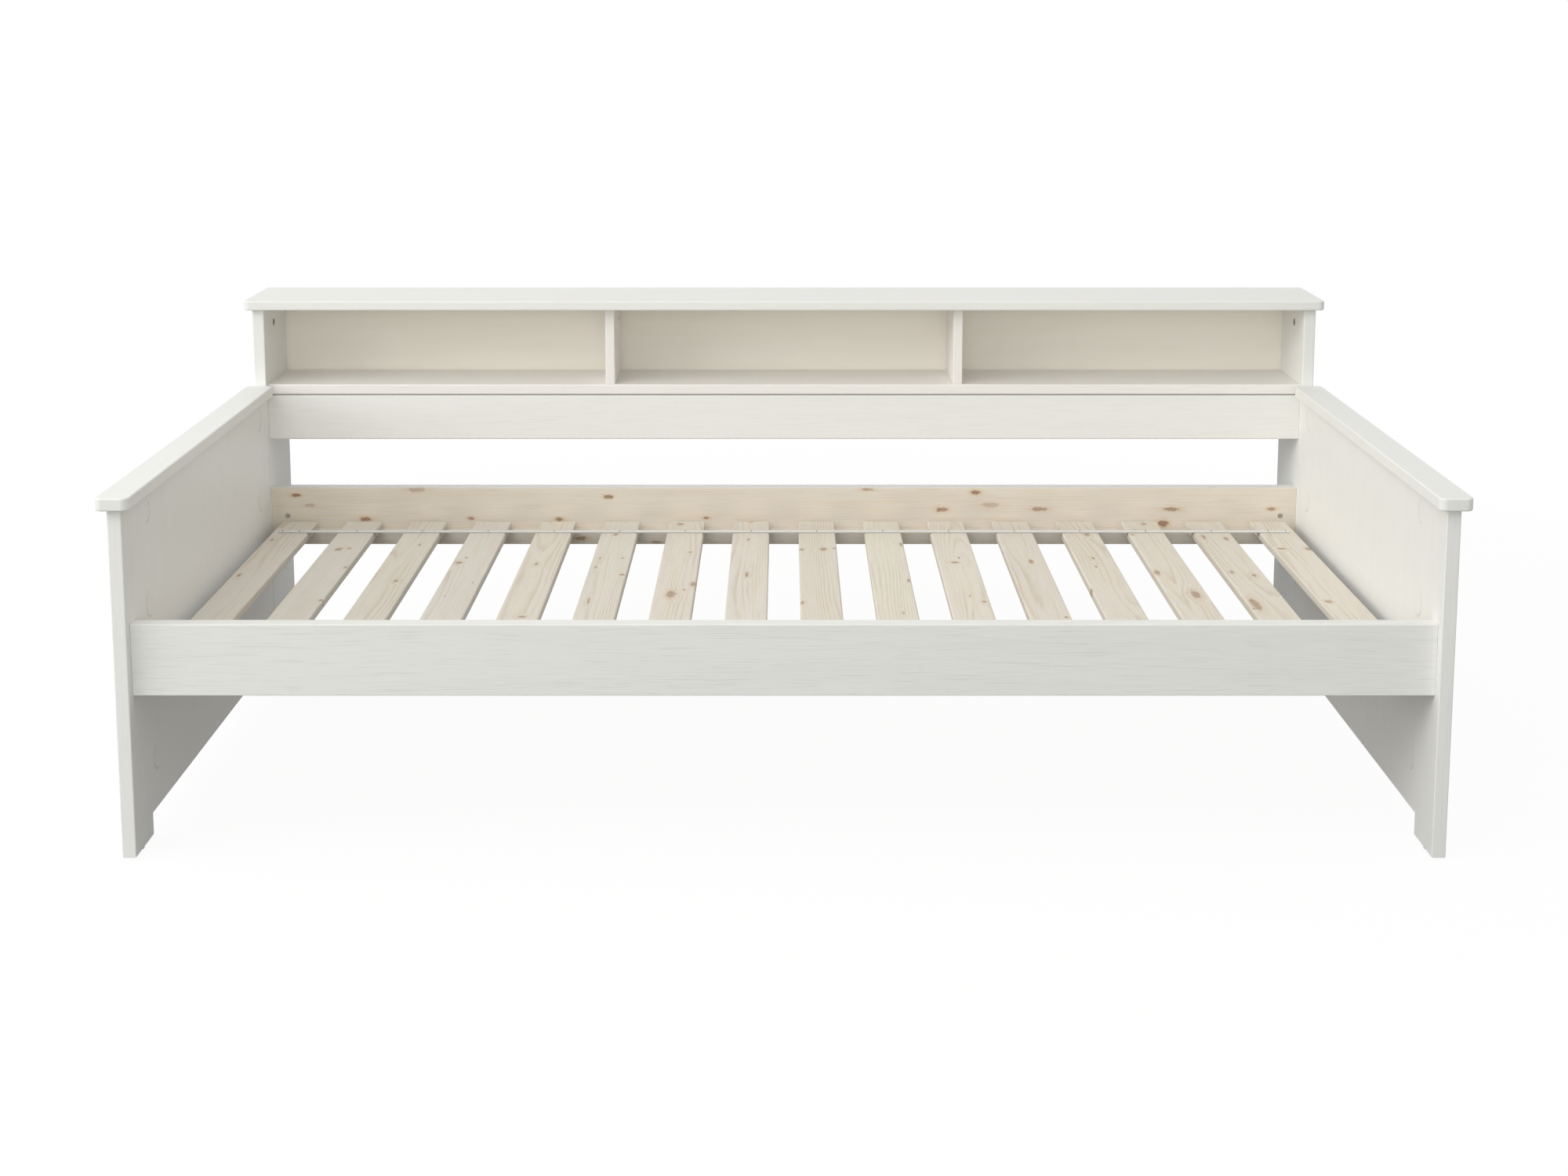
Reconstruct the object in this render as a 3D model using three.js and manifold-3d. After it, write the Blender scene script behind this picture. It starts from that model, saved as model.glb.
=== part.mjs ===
// Storage daybed in painted pine: two side panels with arm caps, two rails, a roll-up slatted base lying on
// battens, and a shelf unit of three open compartments behind the mattress. It knocks down for transport:
// bolts and barrel nuts hold the rails, cam locks hold the top cap, and dowels line up the rest.
// Millimetres, +Z up, the open front towards -Y, origin on the floor under the middle of the bed.

import * as THREE from "three";
import { mergeVertices } from "three/addons/utils/BufferGeometryUtils.js";
import Module from "manifold-3d";

const wasm = await Module();
wasm.setup();

// Gap left between two pieces that touch
const seat = 0.3;

// Mattress that the bed is made round
const mattressLength = 2000;
const mattressWidth = 900;
const mattressPlay = 2.5;

// Side panels
const panelThickness = 22;
const panelHeight = 551;
const panelEdge = 2;
const footLength = 96;
const footRelief = 35;

// Arm caps
const armCapThickness = 20;
const armCapSideOverhang = 15;
const armCapFrontOverhang = 14;
const armCapCorner = 12;
const armCapEdge = 2.5;

// Rails
const railThickness = 27;
const railHeight = 113;
const railEdge = 1.5;
const railSetback = 18.5;
const railBottom = 258;

// Battens screwed to the rails
const battenDepth = 22;
const battenHeight = 27;
const battenEdge = 1.5;
const battenRise = 5.5;
const battenEndGap = 20;

// Slatted base
const slatCount = 16;
const slatWidth = 70;
const slatThickness = 15;
const slatEdge = 3;
const slatEndMargin = 21.5;
const slatFrontGap = 7;
const slatRearGap = 11.5;
const tapeWidth = 20;
const tapeThickness = 1;
const tapeInset = 12.5;
const tapeFromSlatEnd = 81.5;

// Gables of the shelf unit behind the mattress
const gableThickness = 22;
const gableDepth = 182;
const gableHeight = 719.5;
const gableProud = 13;
const gableEdge = 2;
const panelSeam = 1;

// Shelf board, dividers and top cap
const shelfThickness = 20;
const shelfEdge = 3;
const dividerThickness = 18;
const dividerSetback = 2;
const dividerEdge = 2;
const topCapThickness = 18;
const topCapFrontOverhang = 14;
const topCapSideOverhang = 14;
const topCapCorner = 12;
const topCapEdge = 2.5;

// Apron and back panel
const apronThickness = 22;
const apronHeight = 88;
const apronEdge = 3;
const backPanelThickness = 4;
const backPanelEdge = 0.5;
const backPanelMargin = 2;

// Bolts and barrel nuts that hold the rails
const boltRadius = 3;
const boltFit = 0.5;
const boltPastNut = 5;
const boltHeadRadius = 7;
const boltHeadHeight = 3;
const boltHeadEdge = 1;
const boltHeadSunk = 2;
const boltSocketRadius = 2.3;
const boltSocketDepth = 1.8;
const nutRadius = 5;
const nutLength = 18;
const nutInset = 30;
const nutSlotWidth = 1.4;
const nutSlotDepth = 1.6;

// Wooden dowels
const dowelRadius = 4;
const dowelReach = 12;
const dowelFit = 0.3;
const drillSpare = 1;
const topDowelReach = 9;
const railDowelSpread = 34;
const apronDowelSpread = 22;
const shelfDowelInset = 40;
const armDowelInset = 120;
const seamDowelRadius = 5;
const seamDowelLength = 60;
const seamDowelHeights = { lower: 150, upper: 440 };

// Cam locks and pins that hold the top cap
const gableCamRadius = 7.5;
const gableCamFromFront = 81;
const dividerCamRadius = 6;
const dividerCamFromFront = 110;
const camDrop = 36;
const camPastPin = 4.2;
const camSlotWidth = 1.4;
const camSlotDepth = 1.6;
const pinThreadRadius = 2.5;
const pinThreadReach = 9;
const pinNeckRadius = 2;
const pinHeadRadius = 3;
const pinHeadHeight = 3;
const pinHeadTaper = 1;
const pinFit = 0.4;

// Nail-on glides
const glideRadius = 9;
const glideHeight = 4;
const glideEdge = 1;
const glideNailRadius = 1;
const glideNailReach = 12;

// Facets of small round edges, corners in plan, small round pieces and round heads
const edgeSteps = 3;
const cornerSteps = 6;
const roundSides = 12;
const headSides = 20;

// Places across the bed
const railEnd = mattressLength / 2;
const innerFace = railEnd + seat;
const panelX = innerFace + panelThickness / 2;
const gableX = innerFace + gableThickness / 2;
const nutX = railEnd - nutInset;
const bayWidth = (2 * innerFace - 2 * dividerThickness) / 3;
const dividerX = (bayWidth + dividerThickness) / 2;
const slatSpan = mattressLength - 2 * slatEndMargin;
const slatPitch = (slatSpan - slatWidth) / (slatCount - 1);

// Places from front to back
const frontToRearRail = railSetback + railThickness + mattressWidth + mattressPlay;
const rearRailToBack = gableDepth - gableProud + seat + backPanelThickness;
const totalDepth = armCapFrontOverhang + frontToRearRail + rearRailToBack;
const panelFront = -totalDepth / 2 + armCapFrontOverhang;
const frontRailY = panelFront + railSetback + railThickness / 2;
const rearRailFront = panelFront + frontToRearRail;
const rearRailY = rearRailFront + railThickness / 2;
const gableFront = rearRailFront - gableProud;
const gableBack = gableFront + gableDepth;
const gableY = (gableFront + gableBack) / 2;
const panelLength = gableFront - panelSeam - panelFront;
const seamY = gableFront - panelSeam / 2;
const shelfY = (rearRailFront + gableBack) / 2;
const dividerFront = rearRailFront + dividerSetback;
const apronY = rearRailFront + apronThickness / 2;
const slatFront = frontRailY + railThickness / 2 + slatFrontGap;
const slatLength = mattressWidth + mattressPlay - slatFrontGap - slatRearGap;
const footYs = {
  front: panelFront + footLength / 2,
  rear: panelFront + panelLength - footLength / 2,
};
const tapeYs = {
  front: slatFront + tapeFromSlatEnd,
  rear: slatFront + slatLength - tapeFromSlatEnd,
};

// Places above the floor
const panelBottom = glideHeight + seat;
const armCapBottom = panelBottom + panelHeight + seat;
const shelfTop = armCapBottom + armCapThickness;
const shelfBottom = shelfTop - shelfThickness;
const shelfZ = (shelfTop + shelfBottom) / 2;
const apronZ = shelfBottom - seat - apronHeight / 2;
const railZ = railBottom + railHeight / 2;
const battenBottom = railBottom + battenRise;
const slatBottom = battenBottom + battenHeight + seat;
const tapeBottom = slatBottom + slatThickness + seat;
const gableTop = panelBottom + gableHeight;
const topCapBottom = gableTop + seat;
const dividerBottom = shelfTop + seat;
const camZ = gableTop - camDrop;
const pinHeadBottom = camZ - pinHeadHeight / 2;

// Left and right, as the sign of x
const sides = { left: -1, right: 1 };

// The two rails, with the way from each to the mattress and the outer face that its bolts go in by
const rails = {
  front: { y: frontRailY, inward: 1, outerFace: innerFace + panelThickness },
  rear: { y: rearRailY, inward: -1, outerFace: innerFace + gableThickness },
};

const AXIS_X = new THREE.Vector3(1, 0, 0);
const AXIS_Y = new THREE.Vector3(0, 1, 0);
const AXIS_Z = new THREE.Vector3(0, 0, 1);

// How a form drawn in XY and run out along Z is turned to lie along an axis
const towards = {
  x: new THREE.Matrix4().makeBasis(AXIS_Y, AXIS_Z, AXIS_X),
  y: new THREE.Matrix4().makeBasis(AXIS_Z, AXIS_X, AXIS_Y),
  z: new THREE.Matrix4(),
};

// The two sides of a board's section, by the axis that the board runs along
const sectionSides = { x: ["y", "z"], y: ["z", "x"], z: ["x", "y"] };

// A closed geometry as a solid that can be joined and cut
function solid(geometry) {
  const bare = geometry.clone();
  bare.deleteAttribute("normal");
  bare.deleteAttribute("uv");
  const merged = mergeVertices(bare, 1e-4);
  return new wasm.Manifold(
    new wasm.Mesh({
      numProp: 3,
      vertProperties: merged.getAttribute("position").array,
      triVerts: new Uint32Array(merged.getIndex().array),
    }),
  );
}

// A solid back as a geometry
function geometryOf(body) {
  const mesh = body.getMesh();
  const geometry = new THREE.BufferGeometry();
  geometry.setAttribute("position", new THREE.BufferAttribute(mesh.vertProperties, 3));
  geometry.setIndex(new THREE.BufferAttribute(mesh.triVerts, 1));
  return geometry;
}

// Finishes a blank: joins what is glued to it, then takes away what is drilled or slotted. The blank is
// in its own frame, and the other forms are in the bed's frame, where the blank's origin lies at place.
function machined(blank, place, glued, cuts) {
  const inBlank = (form) => solid(form.clone().translate(-place.x, -place.y, -place.z));
  const joined = glued.reduce((body, form) => body.add(inBlank(form)), solid(blank));
  return geometryOf(cuts.reduce((body, form) => body.subtract(inBlank(form)), joined));
}

// A rectangle centred on the origin. Its corner radii go round from low x and low y.
function rectangle(width, height, [lowLeft, lowRight, highRight, highLeft]) {
  const right = width / 2;
  const top = height / 2;
  const quarter = Math.PI / 2;
  const shape = new THREE.Shape();
  shape.moveTo(-right + lowLeft, -top);
  shape.absarc(right - lowRight, -top + lowRight, lowRight, -quarter, 0);
  shape.absarc(right - highRight, top - highRight, highRight, 0, quarter);
  shape.absarc(-right + highLeft, top - highLeft, highLeft, quarter, 2 * quarter);
  shape.absarc(-right + lowLeft, -top + lowLeft, lowLeft, 2 * quarter, 3 * quarter);
  return shape;
}

// A board of one section with eased edges, centred on its own origin, running along an axis
function board(along, size, edge) {
  const [first, second] = sectionSides[along];
  const section = rectangle(size[first], size[second], [edge, edge, edge, edge]);
  const geometry = new THREE.ExtrudeGeometry(section, {
    depth: size[along],
    bevelEnabled: false,
    curveSegments: edgeSteps,
  });
  return geometry.translate(0, 0, -size[along] / 2).applyMatrix4(towards[along]);
}

// A sheet sawn to an outline with a round edge all the way round, centred on its own thickness
function routed(outline, thickness, edge) {
  const geometry = new THREE.ExtrudeGeometry(outline, {
    depth: thickness - 2 * edge,
    bevelThickness: edge,
    bevelSize: edge,
    bevelOffset: -edge,
    bevelSegments: edgeSteps,
    curveSegments: cornerSteps,
  });
  return geometry.translate(0, 0, -thickness / 2 + edge);
}

// A round rod or drill along an axis, from one place on it to another
function rod(along, radius, from, to, across) {
  const geometry = new THREE.CylinderGeometry(radius, radius, Math.abs(to - from), roundSides);
  const middle = { x: 0, y: 0, z: 0, ...across };
  middle[along] = (from + to) / 2;
  return geometry
    .rotateX(Math.PI / 2)
    .applyMatrix4(towards[along])
    .translate(middle.x, middle.y, middle.z);
}

// A block between two corners
function block(low, high) {
  const [width, depth, height] = high.map((value, i) => value - low[i]);
  const middle = high.map((value, i) => (value + low[i]) / 2);
  return new THREE.BoxGeometry(width, depth, height).translate(...middle);
}

// A turned piece, from the radius and height of each corner of its profile, standing along Z
function turned(profile, facets) {
  const points = profile.map(([radius, height]) => new THREE.Vector2(radius, height));
  return new THREE.LatheGeometry(points, facets).rotateX(Math.PI / 2);
}

// Where the dowels lie in the ends of a rail, the apron and the shelf board
const upAndDown = (y, middle, spread) => [middle - spread, middle + spread].map((z) => ({ y, z }));
const railDowelPlaces = (y) => upAndDown(y, railZ, railDowelSpread);
const apronDowelPlaces = upAndDown(apronY, apronZ, apronDowelSpread);
const shelfDowelYs = [rearRailFront + shelfDowelInset, gableBack - shelfDowelInset];
const shelfDowelPlaces = shelfDowelYs.map((y) => ({ y, z: shelfZ }));

// Dowels glued into the two ends of a crosspiece, half their length showing
function endDowels(places) {
  const start = railEnd - dowelReach;
  const end = railEnd + dowelReach;
  return Object.values(sides).flatMap((side) =>
    places.map((at) => rod("x", dowelRadius, side * start, side * end, at)),
  );
}

// Holes for a crosspiece's dowels, in the inner face of a panel or gable
function dowelHoles(side, places) {
  const start = side * (innerFace - drillSpare);
  const end = side * (railEnd + dowelReach + drillSpare);
  return places.map((at) => rod("x", dowelRadius + dowelFit, start, end, at));
}

// Dowels, or their holes, between an arm cap and its panel
function armDowels(side, radius, reach) {
  const panelRear = panelFront + panelLength;
  const ys = [panelFront + armDowelInset, (panelFront + panelRear) / 2, panelRear - armDowelInset];
  const at = (y) => ({ x: side * panelX, y });
  return ys.map((y) => rod("z", radius, armCapBottom - reach, armCapBottom + dowelReach, at(y)));
}

// Dowels, or their holes, between a divider and the shelf board
function dividerDowels(side, radius, reach) {
  const at = (y) => ({ x: side * dividerX, y });
  return shelfDowelYs.map((y) => rod("z", radius, shelfTop - reach, dividerBottom + dowelReach, at(y)));
}

// Dowels, or their holes, between an upright and the top cap
function topDowels(x, ys, radius, reach) {
  return ys.map((y) => rod("z", radius, gableTop - dowelReach, topCapBottom + reach, { x, y }));
}
const gableDowelYs = [gableFront + shelfDowelInset, gableBack - shelfDowelInset];
const dividerDowelYs = [dividerFront + shelfDowelInset];

// Bores across the seam between a side panel and its gable
function seamDowelHoles(side) {
  const reach = seamDowelLength / 2 + drillSpare;
  return Object.values(seamDowelHeights).map((z) =>
    rod("y", seamDowelRadius + dowelFit, seamY - reach, seamY + reach, { x: side * panelX, z }),
  );
}

// Bolt hole, and the sunk seat of the bolt's head, through a panel or gable
function boltHoles(side, { y, outerFace }) {
  const start = side * (innerFace - drillSpare);
  const headSeat = side * (outerFace - boltHeadSunk);
  const end = side * (outerFace + drillSpare);
  return [
    rod("x", boltRadius + boltFit, start, end, { y, z: railZ }),
    rod("x", boltHeadRadius + boltFit, headSeat, end, { y, z: railZ }),
  ];
}

// Hole for a glide's nail, up from the bottom edge
function nailHole(x, y) {
  return rod("z", glideNailRadius + dowelFit, 0, panelBottom + glideNailReach + drillSpare, { x, y });
}

// Side panel: a board that stands on two feet, with a shallow relief over the floor between them
function sidePanel(side) {
  const place = { x: side * panelX, y: panelFront, z: panelBottom };
  const rearFoot = panelLength - footLength;
  const outline = new THREE.Shape();
  outline.moveTo(0, 0);
  outline.lineTo(footLength, 0);
  outline.lineTo(footLength, footRelief);
  outline.lineTo(rearFoot, footRelief);
  outline.lineTo(rearFoot, 0);
  outline.lineTo(panelLength, 0);
  outline.lineTo(panelLength, panelHeight);
  outline.lineTo(0, panelHeight);
  const blank = routed(outline, panelThickness, panelEdge).applyMatrix4(towards.x);
  const cuts = [
    ...boltHoles(side, rails.front),
    ...dowelHoles(side, railDowelPlaces(frontRailY)),
    ...seamDowelHoles(side),
    ...armDowels(side, dowelRadius + dowelFit, dowelReach + drillSpare),
    ...Object.values(footYs).map((y) => nailHole(place.x, y)),
  ];
  return { place, geometry: machined(blank, place, [], cuts) };
}

// Arm cap: a flat board with round corners, on dowels in the panel's top edge
function armCap(side) {
  const width = panelThickness + 2 * armCapSideOverhang;
  const length = armCapFrontOverhang + panelLength;
  const place = {
    x: side * panelX,
    y: panelFront - armCapFrontOverhang + length / 2,
    z: armCapBottom + armCapThickness / 2,
  };
  const corners = [armCapCorner, armCapCorner, armCapCorner, armCapCorner];
  const blank = routed(rectangle(width, length, corners), armCapThickness, armCapEdge);
  return { place, geometry: machined(blank, place, armDowels(side, dowelRadius, dowelReach), []) };
}

// Rail: a plank with a bolt hole and two dowels in each end, and a blind bore for each barrel nut in the
// face towards the mattress
function rail({ y, inward }) {
  const place = { x: 0, y, z: railZ };
  const nutFace = y + (inward * railThickness) / 2;
  const nutEnd = nutFace - inward * (nutLength + 2 * seat);
  const blank = board("x", { x: mattressLength, y: railThickness, z: railHeight }, railEdge);
  const cuts = Object.values(sides).flatMap((side) => {
    const x = side * nutX;
    const boltEnd = side * (nutX - 2 * boltPastNut);
    return [
      rod("x", boltRadius + boltFit, boltEnd, side * (railEnd + drillSpare), { y, z: railZ }),
      rod("y", nutRadius + dowelFit, nutFace + inward * drillSpare, nutEnd, { x, z: railZ }),
    ];
  });
  return { place, geometry: machined(blank, place, endDowels(railDowelPlaces(y)), cuts) };
}

// Batten: a square strip on the inner face of a rail, which carries the slats
function batten({ y, inward }) {
  const offset = railThickness / 2 + seat + battenDepth / 2;
  const place = { x: 0, y: y + inward * offset, z: battenBottom + battenHeight / 2 };
  const length = mattressLength - 2 * battenEndGap;
  return { place, geometry: board("x", { x: length, y: battenDepth, z: battenHeight }, battenEdge) };
}

// Bed bolt: a flat round head with a hexagon socket on a plain shank, seated in the outer face
function bedBolt(side, { y, outerFace }) {
  const seatX = outerFace - boltHeadSunk + seat;
  const place = { x: side * seatX, y, z: railZ };
  const tip = nutX - boltPastNut - seatX;
  const profile = [
    [0, tip],
    [boltRadius, tip],
    [boltRadius, 0],
    [boltHeadRadius, 0],
    [boltHeadRadius, boltHeadHeight - boltHeadEdge],
    [boltHeadRadius - boltHeadEdge, boltHeadHeight],
    [0, boltHeadHeight],
  ];
  const socket = new THREE.CylinderGeometry(boltSocketRadius, boltSocketRadius, 2 * boltSocketDepth, 6);
  socket.rotateX(Math.PI / 2).translate(0, 0, boltHeadHeight);
  const body = solid(turned(profile, headSides)).subtract(solid(socket));
  const geometry = geometryOf(body).applyMatrix4(towards.x);
  return { place, geometry: side < 0 ? geometry.rotateZ(Math.PI) : geometry };
}

// Barrel nut: a steel rod across the rail with a hole for the bolt, and a slot to turn it by
function barrelNut(side, { y, inward }) {
  const face = y + inward * (railThickness / 2 - seat);
  const place = { x: side * nutX, y: face - (inward * nutLength) / 2, z: railZ };
  const left = place.x - 2 * nutRadius;
  const right = place.x + 2 * nutRadius;
  const blank = rod("y", nutRadius, -nutLength / 2, nutLength / 2, {});
  const hole = rod("x", boltRadius + seat, left, right, { y, z: railZ });
  const slot = block(
    [left, face - nutSlotDepth, railZ - nutSlotWidth / 2],
    [right, face + nutSlotDepth, railZ + nutSlotWidth / 2],
  );
  return { place, geometry: machined(blank, place, [], [hole, slot]) };
}

// Glide: a plastic button with a nail up its middle
function glide(x, y) {
  const profile = [
    [0, 0],
    [glideRadius - glideEdge, 0],
    [glideRadius, glideEdge],
    [glideRadius, glideHeight],
    [glideNailRadius, glideHeight],
    [glideNailRadius, panelBottom + glideNailReach],
    [0, panelBottom + glideNailReach],
  ];
  return { place: { x, y, z: 0 }, geometry: turned(profile, headSides) };
}

// Seam dowel: a loose dowel from the side panel's rear edge into the gable's front edge
function seamDowel(side, z) {
  const place = { x: side * panelX, y: seamY, z };
  return { place, geometry: rod("y", seamDowelRadius, -seamDowelLength / 2, seamDowelLength / 2, {}) };
}

// Slat: a flat strip with round edges, sawn square at its ends
function slat(index) {
  const place = {
    x: (index - (slatCount - 1) / 2) * slatPitch,
    y: slatFront + slatLength / 2,
    z: slatBottom + slatThickness / 2,
  };
  return { place, geometry: board("y", { x: slatWidth, y: slatLength, z: slatThickness }, slatEdge) };
}

// Tape: a woven strip across all the slats, which keeps them apart and lets the base roll up
function tape(y) {
  const place = { x: 0, y, z: tapeBottom + tapeThickness / 2 };
  return { place, geometry: new THREE.BoxGeometry(slatSpan - 2 * tapeInset, tapeWidth, tapeThickness) };
}

// The cam locks sit in the uprights: in each gable's inner face, and in each divider's right face.
// x is the upright's middle, face is where the lock shows, and inward is the way that it goes in.
function gableCam(side) {
  return {
    x: side * gableX,
    y: gableFront + gableCamFromFront,
    face: side * innerFace,
    inward: side,
    thickness: gableThickness,
    radius: gableCamRadius,
  };
}

function dividerCam(side) {
  return {
    x: side * dividerX,
    y: dividerFront + dividerCamFromFront,
    face: side * dividerX + dividerThickness / 2,
    inward: -1,
    thickness: dividerThickness,
    radius: dividerCamRadius,
  };
}

// Bores for a cam lock and its pin in an upright
function camHoles({ x, y, face, inward, thickness, radius }) {
  const inside = face + inward * (thickness / 2 + camPastPin + seat);
  return [
    rod("x", radius + dowelFit, face - inward * drillSpare, inside, { y, z: camZ }),
    rod("z", pinHeadRadius + pinFit, camZ, topCapBottom, { x, y }),
  ];
}

// Cam lock: a short round barrel with a cross slot in its face. A slotted chamber behind the face takes
// the pin's head, and turning the barrel draws the pin down.
function camLock({ x, y, face, inward, thickness, radius }) {
  const outside = face + inward * seat;
  const inside = face + inward * (thickness / 2 + camPastPin);
  const place = { x: (outside + inside) / 2, y, z: camZ };
  const blank = rod("x", radius, outside - place.x, inside - place.x, {});
  const chamberEnds = [x - inward * (pinHeadRadius + pinFit), inside + inward * drillSpare];
  const chamber = (halfWidth, low, high) =>
    block(
      [Math.min(...chamberEnds), y - halfWidth, low],
      [Math.max(...chamberEnds), y + halfWidth, high],
    );
  const groove = (halfWidth, halfHeight) =>
    block(
      [outside - camSlotDepth, y - halfWidth, camZ - halfHeight],
      [outside + camSlotDepth, y + halfWidth, camZ + halfHeight],
    );
  const cuts = [
    chamber(pinNeckRadius + pinFit, camZ, camZ + 2 * radius),
    chamber(pinHeadRadius + pinFit, pinHeadBottom - pinFit, pinHeadBottom + pinHeadHeight + pinFit),
    groove(radius / 2, camSlotWidth / 2),
    groove(camSlotWidth / 2, radius / 2),
  ];
  return { place, geometry: machined(blank, place, [], cuts) };
}

// Cam pin: a thread in the top cap, and a neck and head that hang in the upright's top edge
function camPin({ x, y }) {
  const neckEnd = topCapBottom - pinHeadBottom;
  const profile = [
    [0, 0],
    [pinHeadRadius, 0],
    [pinHeadRadius, pinHeadHeight - pinHeadTaper],
    [pinNeckRadius, pinHeadHeight],
    [pinNeckRadius, neckEnd],
    [pinThreadRadius, neckEnd],
    [pinThreadRadius, neckEnd + pinThreadReach],
    [0, neckEnd + pinThreadReach],
  ];
  return { place: { x, y, z: pinHeadBottom }, geometry: turned(profile, roundSides) };
}

// Gable: the tall upright at each end of the shelf unit, down to the floor
function gable(side) {
  const place = { x: side * gableX, y: gableY, z: panelBottom + gableHeight / 2 };
  const outline = rectangle(gableDepth, gableHeight, [0, 0, 0, 0]);
  const blank = routed(outline, gableThickness, gableEdge).applyMatrix4(towards.x);
  const glued = topDowels(place.x, gableDowelYs, dowelRadius, topDowelReach);
  const cuts = [
    ...boltHoles(side, rails.rear),
    ...dowelHoles(side, [...railDowelPlaces(rearRailY), ...apronDowelPlaces, ...shelfDowelPlaces]),
    ...seamDowelHoles(side),
    ...camHoles(gableCam(side)),
    nailHole(place.x, place.y),
  ];
  return { place, geometry: machined(blank, place, glued, cuts) };
}

// Divider: a short upright between the shelf board and the top cap
function divider(side) {
  const depth = gableBack - dividerFront;
  const height = gableTop - dividerBottom;
  const place = { x: side * dividerX, y: dividerFront + depth / 2, z: dividerBottom + height / 2 };
  const blank = board("z", { x: dividerThickness, y: depth, z: height }, dividerEdge);
  const glued = [
    ...topDowels(place.x, dividerDowelYs, dowelRadius, topDowelReach),
    ...dividerDowels(side, dowelRadius, dowelReach),
  ];
  return { place, geometry: machined(blank, place, glued, camHoles(dividerCam(side))) };
}

// Shelf board: the floor of the compartments, on dowels between the gables
function shelfBoard() {
  const place = { x: 0, y: shelfY, z: shelfZ };
  const depth = gableBack - rearRailFront;
  const blank = board("x", { x: mattressLength, y: depth, z: shelfThickness }, shelfEdge);
  const cuts = Object.values(sides).flatMap((side) =>
    dividerDowels(side, dowelRadius + dowelFit, dowelReach + drillSpare),
  );
  return { place, geometry: machined(blank, place, endDowels(shelfDowelPlaces), cuts) };
}

// Top cap: the lid over the shelf unit, round at its two front corners and square at the wall
function topCap() {
  const width = 2 * (innerFace + gableThickness + topCapSideOverhang);
  const depth = topCapFrontOverhang + gableDepth + seat + backPanelThickness;
  const place = {
    x: 0,
    y: gableFront - topCapFrontOverhang + depth / 2,
    z: topCapBottom + topCapThickness / 2,
  };
  const outline = rectangle(width, depth, [topCapCorner, topCapCorner, 0, 0]);
  const blank = routed(outline, topCapThickness, topCapEdge);
  const hole = dowelRadius + dowelFit;
  const reach = topDowelReach + drillSpare;
  const threadEnd = topCapBottom + pinThreadReach + drillSpare;
  const threadHole = ({ x, y }) => rod("z", pinThreadRadius + dowelFit, gableTop, threadEnd, { x, y });
  const cuts = Object.values(sides).flatMap((side) => [
    ...topDowels(side * gableX, gableDowelYs, hole, reach),
    ...topDowels(side * dividerX, dividerDowelYs, hole, reach),
    threadHole(gableCam(side)),
    threadHole(dividerCam(side)),
  ]);
  return { place, geometry: machined(blank, place, [], cuts) };
}

// Apron: the upper crosspiece, under the shelf board's front
function apron() {
  const place = { x: 0, y: apronY, z: apronZ };
  const blank = board("x", { x: mattressLength, y: apronThickness, z: apronHeight }, apronEdge);
  return { place, geometry: machined(blank, place, endDowels(apronDowelPlaces), []) };
}

// Back panel: a thin sheet nailed over the rear edges of the compartments, under the top cap
function backPanel() {
  const bottom = shelfBottom + backPanelMargin;
  const width = 2 * (innerFace + gableThickness - backPanelMargin);
  const place = { x: 0, y: gableBack + seat + backPanelThickness / 2, z: (bottom + gableTop) / 2 };
  const size = { x: width, y: backPanelThickness, z: gableTop - bottom };
  return { place, geometry: board("x", size, backPanelEdge) };
}

// Colours and sheen of the finishes
const finishes = {
  paint: { color: 0xe6e5df, roughness: 0.55, metalness: 0 },
  pine: { color: 0xd9cbb0, roughness: 0.7, metalness: 0 },
  backing: { color: 0xded8cb, roughness: 0.6, metalness: 0 },
  tape: { color: 0xe9e8e3, roughness: 0.9, metalness: 0 },
  steel: { color: 0xa3a39c, roughness: 0.35, metalness: 1 },
  dowel: { color: 0xd8c09a, roughness: 0.8, metalness: 0 },
  glide: { color: 0xb9b4a8, roughness: 0.5, metalness: 0 },
};

// Puts a piece of one finish in its place in a group
function put(group, name, finish, { place, geometry }) {
  geometry.computeVertexNormals();
  const mesh = new THREE.Mesh(geometry, new THREE.MeshStandardMaterial(finishes[finish]));
  mesh.name = name;
  mesh.position.set(place.x, place.y, place.z);
  group.add(mesh);
}

// Bed frame: side panels on their glides, arm caps, and rails with their battens and fittings
const bedFrame = new THREE.Group();
for (const [hand, side] of Object.entries(sides)) {
  put(bedFrame, `side_panel_${hand}`, "paint", sidePanel(side));
  put(bedFrame, `arm_cap_${hand}`, "paint", armCap(side));
  for (const [end, y] of Object.entries(footYs)) {
    put(bedFrame, `glide_${end}_${hand}`, "glide", glide(side * panelX, y));
  }
  for (const [level, z] of Object.entries(seamDowelHeights)) {
    put(bedFrame, `seam_dowel_${level}_${hand}`, "dowel", seamDowel(side, z));
  }
}
for (const [end, which] of Object.entries(rails)) {
  put(bedFrame, `${end}_rail`, "paint", rail(which));
  put(bedFrame, `${end}_batten`, "pine", batten(which));
  for (const [hand, side] of Object.entries(sides)) {
    put(bedFrame, `bed_bolt_${end}_${hand}`, "steel", bedBolt(side, which));
    put(bedFrame, `barrel_nut_${end}_${hand}`, "steel", barrelNut(side, which));
  }
}

// Slatted base
const slatBase = new THREE.Group();
for (let i = 0; i < slatCount; i += 1) {
  put(slatBase, `slat_${String(i + 1).padStart(2, "0")}`, "pine", slat(i));
}
for (const [end, y] of Object.entries(tapeYs)) {
  put(slatBase, `slat_tape_${end}`, "tape", tape(y));
}

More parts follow.
